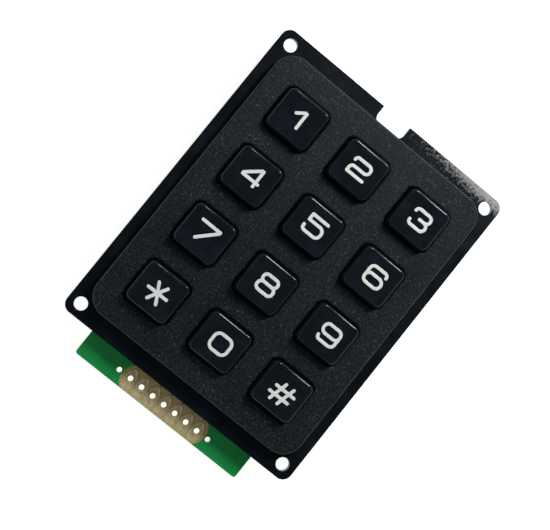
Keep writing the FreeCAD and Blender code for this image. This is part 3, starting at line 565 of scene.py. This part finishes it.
# Key cap as one closed surface: rounded rectangles, from the middle of the hollow's roof down the
# hollow, out round the lip, up the stem and the drafted side, over the edge and in to the middle
# of the dish. On the edge: inset = r (1 - cos t), drop = r (1 - sin t).
def capSurface():
    c = cap
    rows = []  # half width, half length, corner radius, height, 1 where the height follows the dish
    hollowX, hollowY = c["hollowWidth"] / 2, c["hollowLength"] / 2
    lipX = c["footWidth"] / 2 + c["lipOverlap"]
    lipY = c["footLength"] / 2 + c["lipOverlap"]
    lipBottom = c["lipTop"] - c["lipThickness"]
    footX, footY = c["footWidth"] / 2, c["footLength"] / 2
    rows.append((0.4, 0.4, 0.3, c["roof"], 0))
    crease, edge = c["crease"], c["lipRounding"]
    inner = c["hollowCorner"]
    rows.append((hollowX - crease, hollowY - crease, inner, c["roof"], 0))
    rows.append((hollowX, hollowY, inner, c["roof"] - crease, 0))
    rows.append((hollowX, hollowY, inner, lipBottom + crease, 0))
    rows.append((hollowX + crease, hollowY + crease, inner + crease, lipBottom, 0))
    rows.append((lipX - edge, lipY - edge, c["corner"], lipBottom, 0))
    rows.append((lipX, lipY, c["corner"], lipBottom + edge, 0))
    rows.append((lipX, lipY, c["corner"], c["lipTop"] - edge, 0))
    rows.append((lipX - edge, lipY - edge, c["corner"], c["lipTop"], 0))
    rows.append((footX + crease, footY + crease, c["corner"], c["lipTop"], 0))
    rows.append((footX, footY, c["corner"], c["lipTop"] + crease, 0))
    rows.append((footX, footY, c["corner"], c["plateau"], 0))
    topX, topY = c["topWidth"] / 2, c["topLength"] / 2
    shoulder = c["plateau"] + keyHeight - c["rounding"] - c["dish"] / 2
    for part in (0.03, 0.5, 0.97):
        x = footX + (topX - footX) * part
        y = footY + (topY - footY) * part
        rows.append((x, y, c["corner"], c["plateau"] + (shoulder - c["plateau"]) * part, 0))
    for turn in np.linspace(0.1, math.pi / 2, 9):
        inset = c["rounding"] * (1 - math.cos(turn))
        drop = c["rounding"] * (1 - math.sin(turn))
        rows.append((topX - inset, topY - inset, c["corner"] - inset, -drop, 1))
    for part in (0.93, 0.82, 0.66, 0.5, 0.34, 0.18, 0.06):
        x = (topX - c["rounding"]) * part
        y = (topY - c["rounding"]) * part
        rows.append((x, y, (c["corner"] - c["rounding"]) * part, 0.0, 1))
    table = np.array(rows)
    flat = roundedRings(table[:, 0], table[:, 1], table[:, 2])
    dish = dishHeight(flat[..., 0], flat[..., 1])
    height = table[:, 3][:, None] + table[:, 4][:, None] * dish
    return np.concatenate([flat, height[..., None]], axis=-1)


# plunger under the roof: a profile of radius and height, turned; only its lower rim is rounded
def plungerSurface(radius, bottom, top, steps=40):
    rim = cap["plungerRounding"]
    profile = np.array([
        (radius, top),
        (radius, bottom + rim),
        (radius - 0.3 * rim, bottom + 0.3 * rim),
        (radius - rim, bottom),
    ])
    angle = np.linspace(0, 2 * math.pi, steps, endpoint=False)
    x = profile[:, 0][:, None] * np.cos(angle)[None]
    y = profile[:, 0][:, None] * np.sin(angle)[None]
    z = np.repeat(profile[:, 1][:, None], steps, axis=1)
    return np.stack([x, y, z], axis=-1)


keyBox = {name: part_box("keycap_" + name) for name in keyNames}
keyHeight = keyBox["5"][1].z / mm - cap["plateau"]
keyCentre = {
    name: np.array([(low.x + high.x) / 2, (low.y + high.y) / 2, 0.0])
    for name, (low, high) in keyBox.items()
}


def joinPieces(name, parts):
    work = bmesh.new()
    for part in parts:
        work.from_mesh(part.data)
    mesh = bpy.data.meshes.new(name)
    work.to_mesh(mesh)
    work.free()
    for part in parts:
        bpy.data.objects.remove(part)
    piece = bpy.data.objects.new(name, mesh)
    bpy.context.scene.collection.objects.link(piece)
    return piece


def buildCap(name):
    shell = gridPiece("part", capSurface() * mm + keyCentre[name], False, True, True, True)
    bottom = keyBox[name][0].z / mm + cap["plungerGap"]
    surface = plungerSurface(cap["plungerRadius"], bottom, cap["roof"] + cap["plungerRoot"])
    plunger = gridPiece("part", surface * mm + keyCentre[name], False, True, True, True)
    piece = joinPieces("cap_" + name, [shell, plunger])
    paint(piece, keyAbs)
    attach(piece, "key_" + name)
    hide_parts("keycap_" + name)
    return piece


for keyName in keyNames:
    buildCap(keyName)
print("key caps made:", len(keyNames))


legend = {
    "stroke": 0.6,
    "lift": 0.015,  # mm above the cap, the step that a second shot leaves
    "liftStep": 0.003,  # less for each further stroke, so that crossing strokes share no surface
    "sink": 0.12,  # mm into the cap
    "nineShift": 0.5,
    "cornerSteps": 9,
    "endSteps": 9,
}


# half a turn about the key's middle, then moved across
def turned(points, shift):
    return [(shift - point[0], -point[1]) + tuple(point[2:]) for point in points]


# strokes of each legend about the key's middle: (x, y) or (x, y, corner radius), in mm
def legendStrokes():
    sixBand = [(-1.57, 0.26, 0.9), (1.96, 0.26, 0.9), (1.96, -1.63, 0.9), (-1.57, -1.63, 0.9)]
    sixLine = [(-1.57, -0.6), (-1.57, 1.71, 0.9), (1.9, 1.71, 0.6), (1.9, 1.05)]
    shift = legend["nineShift"]
    return {
        "1": ([], [[(0.7, -1.5), (0.7, 1.6)], [(0.7, 1.6), (0.4, 1.6)], [(0.4, 1.6), (-0.95, 0.6)]]),
        "2": ([], [
            [(-1.7, 1.0), (-1.7, 1.62, 0.6), (1.86, 1.62, 0.8), (1.86, -0.03, 0.8), (0.0, -0.03)],
            [(0.0, -0.03), (-1.77, -0.03, 0.75), (-1.77, -1.4)],
            [(-1.77, -1.4), (1.7, -1.4)],
        ]),
        "3": ([], [
            [(-1.53, 0.95), (-1.53, 1.6, 0.6), (1.85, 1.6, 0.78), (1.85, 0.02, 0.78), (0.0, 0.02)],
            [(0.0, 0.02), (1.85, 0.02, 0.8), (1.85, -1.62, 0.8), (-1.5, -1.62, 0.6), (-1.5, -0.9)],
        ]),
        "4": ([], [
            [(1.2, -1.33), (1.2, 1.88)],
            [(1.2, 1.88), (0.9, 1.88)],
            [(0.9, 1.88), (-1.62, -0.3)],
            [(-1.62, -0.3), (-1.62, -0.55)],
            [(-1.62, -0.55), (1.72, -0.55)],
        ]),
        "5": ([], [
            [(-1.4, 1.8), (1.95, 1.8)],
            [(-1.4, 1.8), (-1.4, 0.65)],
            [(-1.4, 0.65), (1.95, 0.65, 0.95), (1.95, -1.45, 0.95), (-1.6, -1.45, 0.6), (-1.6, -0.6)],
        ]),
        "6": ([sixBand], [sixLine]),
        "7": ([], [
            [(-1.9, 1.8), (1.95, 1.8)],
            [(1.95, 1.8), (1.95, 1.62)],
            [(1.95, 1.62), (-1.1, -1.52)],
        ]),
        "8": ([
            [(-1.42, 0.05, 0.7), (1.67, 0.05, 0.7), (1.67, 1.57, 0.7), (-1.42, 1.57, 0.7)],
            [(-1.57, 0.05, 0.8), (1.82, 0.05, 0.8), (1.82, -1.64, 0.8), (-1.57, -1.64, 0.8)],
        ], []),
        "9": ([turned(sixBand, shift)], [turned(sixLine, shift)]),
        "0": ([[(-1.61, -1.86, 1.1), (1.98, -1.86, 1.1), (1.98, 1.36, 1.1), (-1.61, 1.36, 1.1)]], []),
        "star": ([], [
            [(-2.0, -0.22), (2.0, -0.22)],
            [(-0.95, -1.95), (1.0, 1.5)],
            [(-0.95, 1.5), (1.0, -1.95)],
        ]),
        "hash": ([], [
            [(-1.6, 0.35), (2.35, 0.35)],
            [(-2.0, -1.1), (2.0, -1.1)],
            [(-1.15, -2.15), (-0.2, 1.45)],
            [(0.55, -2.15), (1.5, 1.45)],
        ]),
    }


# Points and directions along a path of straight runs and tangent arcs: at a corner of radius r
# that turns by a, the arc starts r tan(a / 2) before it, with its centre r to the inner side.
def pathPoints(points, closed, arcSteps):
    flat = np.array([point[:2] for point in points], float)
    radii = [point[2] if len(point) > 2 else 0.0 for point in points]
    count = len(points)
    places, ways = [], []
    for index in range(count):
        if not closed and index in (0, count - 1):
            other = flat[1] - flat[0] if index == 0 else flat[-1] - flat[-2]
            places.append(flat[index][None])
            ways.append((other / np.linalg.norm(other))[None])
            continue
        before = flat[index] - flat[index - 1]
        after = flat[(index + 1) % count] - flat[index]
        before /= np.linalg.norm(before)
        after /= np.linalg.norm(after)
        turn = math.atan2(before[0] * after[1] - before[1] * after[0], before @ after)
        side = math.copysign(1.0, turn)
        start = flat[index] - before * radii[index] * math.tan(abs(turn) / 2)
        centre = start + side * radii[index] * np.array([-before[1], before[0]])
        heading = math.atan2(before[1], before[0]) + np.linspace(0, turn, arcSteps)
        outward = np.stack([np.sin(heading), -np.cos(heading)], axis=1) * side
        places.append(centre + outward * radii[index])
        ways.append(np.stack([np.cos(heading), np.sin(heading)], axis=1))
    return np.concatenate(places), np.concatenate(ways)


# Stroke: a flat profile (offset s, height) carried along a path. Round ends: past an end the path
# goes on by half * sin a while the profile narrows to half * cos a.
def strokeSurface(points, closed, width, lift, sink, groundHeight):
    half = width / 2
    places, ways = pathPoints(points, closed, legend["cornerSteps"])
    scale = np.ones(len(places))
    if not closed:
        angle = np.linspace(0, math.pi / 2, legend["endSteps"])[1:-1]
        tip = half * np.sin(angle)[:, None]
        places = np.concatenate([places[0] - ways[0] * tip[::-1], places, places[-1] + ways[-1] * tip])
        narrow = np.cos(angle)
        scale = np.concatenate([narrow[::-1], scale, narrow])
        firstWays = np.repeat(ways[:1], len(angle), 0)
        lastWays = np.repeat(ways[-1:], len(angle), 0)
        ways = np.concatenate([firstWays, ways, lastWays])
    across = np.stack([-ways[:, 1], ways[:, 0]], axis=1)
    offset = np.array([-1.0, -1.0, -0.93, -0.5, 0.0, 0.5, 0.93, 1.0, 1.0])
    raised = np.array([-sink, 0.2 * lift, lift, lift, lift, lift, lift, 0.2 * lift, -sink])
    reach = offset[None, :, None] * half * scale[:, None, None]
    flat = places[:, None, :] + across[:, None, :] * reach
    height = groundHeight(flat[..., 0], flat[..., 1]) + raised[None]
    return np.concatenate([flat, height[..., None]], axis=-1)


def buildLegend(name, bands, lines):
    parts = []
    strokes = [(points, True) for points in bands] + [(points, False) for points in lines]
    for number, (points, closed) in enumerate(strokes):
        lift = legend["lift"] - legend["liftStep"] * number
        surface = strokeSurface(points, closed, legend["stroke"], lift, legend["sink"], dishHeight)
        points = surface * mm + keyCentre[name]
        parts.append(gridPiece("part", points, closed, True, not closed, not closed))
    piece = joinPieces("inlay_" + name, parts)
    paint(piece, legendAbs)
    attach(piece, "key_" + name)
    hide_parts("legend_" + name)
    return piece


for keyName, (bands, lines) in legendStrokes().items():
    buildLegend(keyName, bands, lines)
print("legends made:", len(legendStrokes()))


for nodeName, material in (
    ("circuit_board", laminate),
    ("solder_mask_front", lacquer),
    ("solder_mask_back", lacquer),
    ("switch_contacts", carbon),
    ("plated_vias", trackCopper),
    ("column_tracks", trackCopper),
    ("row_tracks", trackCopper),
    ("silicone_sheet", silicone),
):
    paint(nodes[nodeName], material)
for keyName in keyNames:
    paint(nodes["dome_" + keyName], silicone)
    paint(nodes["contact_pill_" + keyName], carbon)


pad = {
    "pitch": 2.54,
    "count": 7,
    "hole": 0.5,  # radius
    "halfWidth": 1.12,
    "halfLength": 2.15,
    "landRadius": 1.0,
    "bead": 0.09,  # how far the metal stands up near its outline
    "dip": 0.008,  # how far it lies below the plain pad's top where the profile is 0
    # share of the way from the hole's edge to the outline, height there as a share of the bead
    "profile": [
        (0.05, 0.15), (0.15, 0.3), (0.35, 0.1), (0.55, 0.15), (0.7, 0.6),
        (0.8, 0.95), (0.88, 1.0), (0.95, 0.6), (1.0, 0.0),
    ],
}
padLow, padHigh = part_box("header_pads")
boardLow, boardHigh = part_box("circuit_board")


# Pad: rings about the hole, from the land on the back up through the hole, out to a drop's outline
# on the front and back down. Outline, lower half: a stadium's end, x = w cos a,
# y = -(l - w) + w sin a; upper half: x = w |cos a|^1.5 (with its sign), y = l sin a, which comes to
# a point. On the front each ring is hole + (outline - hole) * part, raised by the profile.
def padSurface(steps=64):
    angle = np.linspace(0, 2 * math.pi, steps, endpoint=False)
    width, length = pad["halfWidth"], pad["halfLength"]
    cosine, sine = np.cos(angle), np.sin(angle)
    upper = sine > 1e-9
    outlineX = np.where(upper, width * np.sign(cosine) * np.abs(cosine) ** 1.5, width * cosine)
    outlineY = np.where(upper, length * sine, width * sine - (length - width) * (sine < -1e-9))
    holeX, holeY = pad["hole"] * cosine, pad["hole"] * sine
    top = padHigh.z / mm
    face = boardHigh.z / mm
    back = boardLow.z / mm
    low = padLow.z / mm
    land = pad["landRadius"]
    rows = []
    for x, y, z in (
        (land * cosine, land * sine, back + 0.01),
        (0.96 * land * cosine, 0.96 * land * sine, low),
        (1.3 * holeX, 1.3 * holeY, low),
        (holeX, holeY, low + 0.03),
        (holeX, holeY, top - 0.03),
    ):
        rows.append(np.stack([x, y, np.full(steps, z)], axis=1))
    for part, lift in pad["profile"]:
        x = holeX + (outlineX - holeX) * part
        y = holeY + (outlineY - holeY) * part
        z = top + lift * pad["bead"] - pad["dip"]
        rows.append(np.stack([x, y, np.full(steps, z)], axis=1))
    rows.append(np.stack([outlineX, outlineY, np.full(steps, face - 0.02)], axis=1))
    rows.append(np.stack([1.1 * holeX, 1.1 * holeY, np.full(steps, face - 0.02)], axis=1))
    rows.append(np.stack([1.1 * holeX, 1.1 * holeY, np.full(steps, back + 0.01)], axis=1))
    return np.stack(rows)


def buildPads():
    parts = []
    middle = np.array([(padLow.x + padHigh.x) / 2, (padLow.y + padHigh.y) / 2, 0.0])
    for number in range(pad["count"]):
        shift = np.array([(number - (pad["count"] - 1) / 2) * pad["pitch"] * mm, 0.0, 0.0])
        parts.append(gridPiece("part", padSurface() * mm + middle + shift, True, True))
    piece = joinPieces("solderPads", parts)
    paint(piece, padCopper)
    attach(piece, "module")
    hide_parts("header_pads")


buildPads()


ridge = {
    "width": 0.52,
    "lift": 0.03,
    "sink": 0.01,
    "trackWidth": 0.5,
    "corner": 0.6,
    "rowPitch": 13.0,
    "columnPitch": 14.0,
    "viaShift": 2.15,
    "lanePitch": 0.7,
    "levelPitch": 1.2,
    # line above the middle in row pitches, side, pad counted from the middle, lane
    "routes": [(1.5, -1, 3, 0), (0.5, -1, 2, 1), (-0.5, 1, 3, 0), (-1.5, 1, 2, 1)],
}
rowLow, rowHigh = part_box("row_tracks")


# the lacquer stands up over each track on the back: flat strokes on the lacquer's face
def buildRidges():
    width = ridge["trackWidth"]
    corner = ridge["corner"]
    padTop = rowLow.y / mm + width / 2
    outer = rowHigh.x / mm - width / 2
    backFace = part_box("solder_mask_back")[0].z / mm
    parts = []
    for line, side, padNumber, lane in ridge["routes"]:
        y = line * ridge["rowPitch"]
        far = (ridge["columnPitch"] if side < 0 else -ridge["columnPitch"]) - ridge["viaShift"]
        x = side * (outer - lane * ridge["lanePitch"])
        level = padTop + (1 + lane) * ridge["levelPitch"]
        end = side * padNumber * pad["pitch"]
        points = [(far, y), (x, y, corner), (x, level, corner), (end, level, corner), (end, padTop)]
        surface = strokeSurface(
            points, False, ridge["width"], ridge["lift"], ridge["sink"], lambda u, v: 0 * u
        )
        surface[..., 2] = backFace - surface[..., 2]
        parts.append(gridPiece("part", surface * mm, False, True, True, True))
    piece = joinPieces("trackRidges", parts)
    paint(piece, lacquerOverCopper)
    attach(piece, "module")


buildRidges()
print("circuit board finished")


studio = {
    "floorSize": 6.0,
    "floorGap": 0.05,  # mm below the posts
    "floorGlow": 0.8,  # the floor is a light table: it shows bright through the holes
    "tent": 0.5,  # brightness of the light tent's walls
    "tentTop": 0.1,  # share of it that is left overhead, where the camera looks in
    "lamps": [
        # place in mm, size in mm, watts, colour
        ((44.0, 190.0, 215.0), (40.0, 110.0), 0.5, "#f7fbff"),
        ((-190.0, -210.0, 260.0), (60.0, 60.0), 0.06, "#f4f8ff"),
    ],
}


# World: a light tent, whose brightness falls from its walls (direction's z low) to its dark top
def buildTent():
    world = bpy.data.worlds.new("lightTent")
    world.use_nodes = True
    tree = world.node_tree
    direction = addNode(tree, "ShaderNodeTexCoord").outputs["Generated"]
    height = addNode(tree, "ShaderNodeSeparateXYZ", links={"Vector": direction}).outputs["Z"]
    low, high = studio["tent"], studio["tent"] * studio["tentTop"]
    background = tree.nodes["Background"]
    tree.links.new(remap(tree, height, 0.35, 0.93, low, high), background.inputs["Strength"])
    background.inputs["Color"].default_value = (1.0, 1.0, 1.0, 1.0)
    bpy.context.scene.world = world


def buildStudio():
    size = studio["floorSize"] / 2
    level = cadBounds[0][2] - studio["floorGap"] * mm
    line = np.linspace(-size, size, 3)
    x, y = np.meshgrid(line, line)
    floor = gridPiece("floor", np.stack([x, y, np.full_like(x, level)], axis=-1))
    floor.data.flip_normals()
    paint(floor, paleFloor())
    buildTent()
    for number, (place, size, watts, colour) in enumerate(studio["lamps"]):
        lamp = bpy.data.lights.new("lamp%d" % number, "AREA")
        lamp.shape = "RECTANGLE"
        lamp.size = size[0] * mm
        lamp.size_y = size[1] * mm
        lamp.energy = watts
        lamp.color = linear(colour)[:3]
        holder = bpy.data.objects.new(lamp.name, lamp)
        bpy.context.scene.collection.objects.link(holder)
        holder.location = Vector(place) * mm
        holder.rotation_euler = (-holder.location).to_track_quat("-Z", "Y").to_euler()


buildStudio()
bpy.context.scene.view_settings.view_transform = "Standard"
print("studio made")
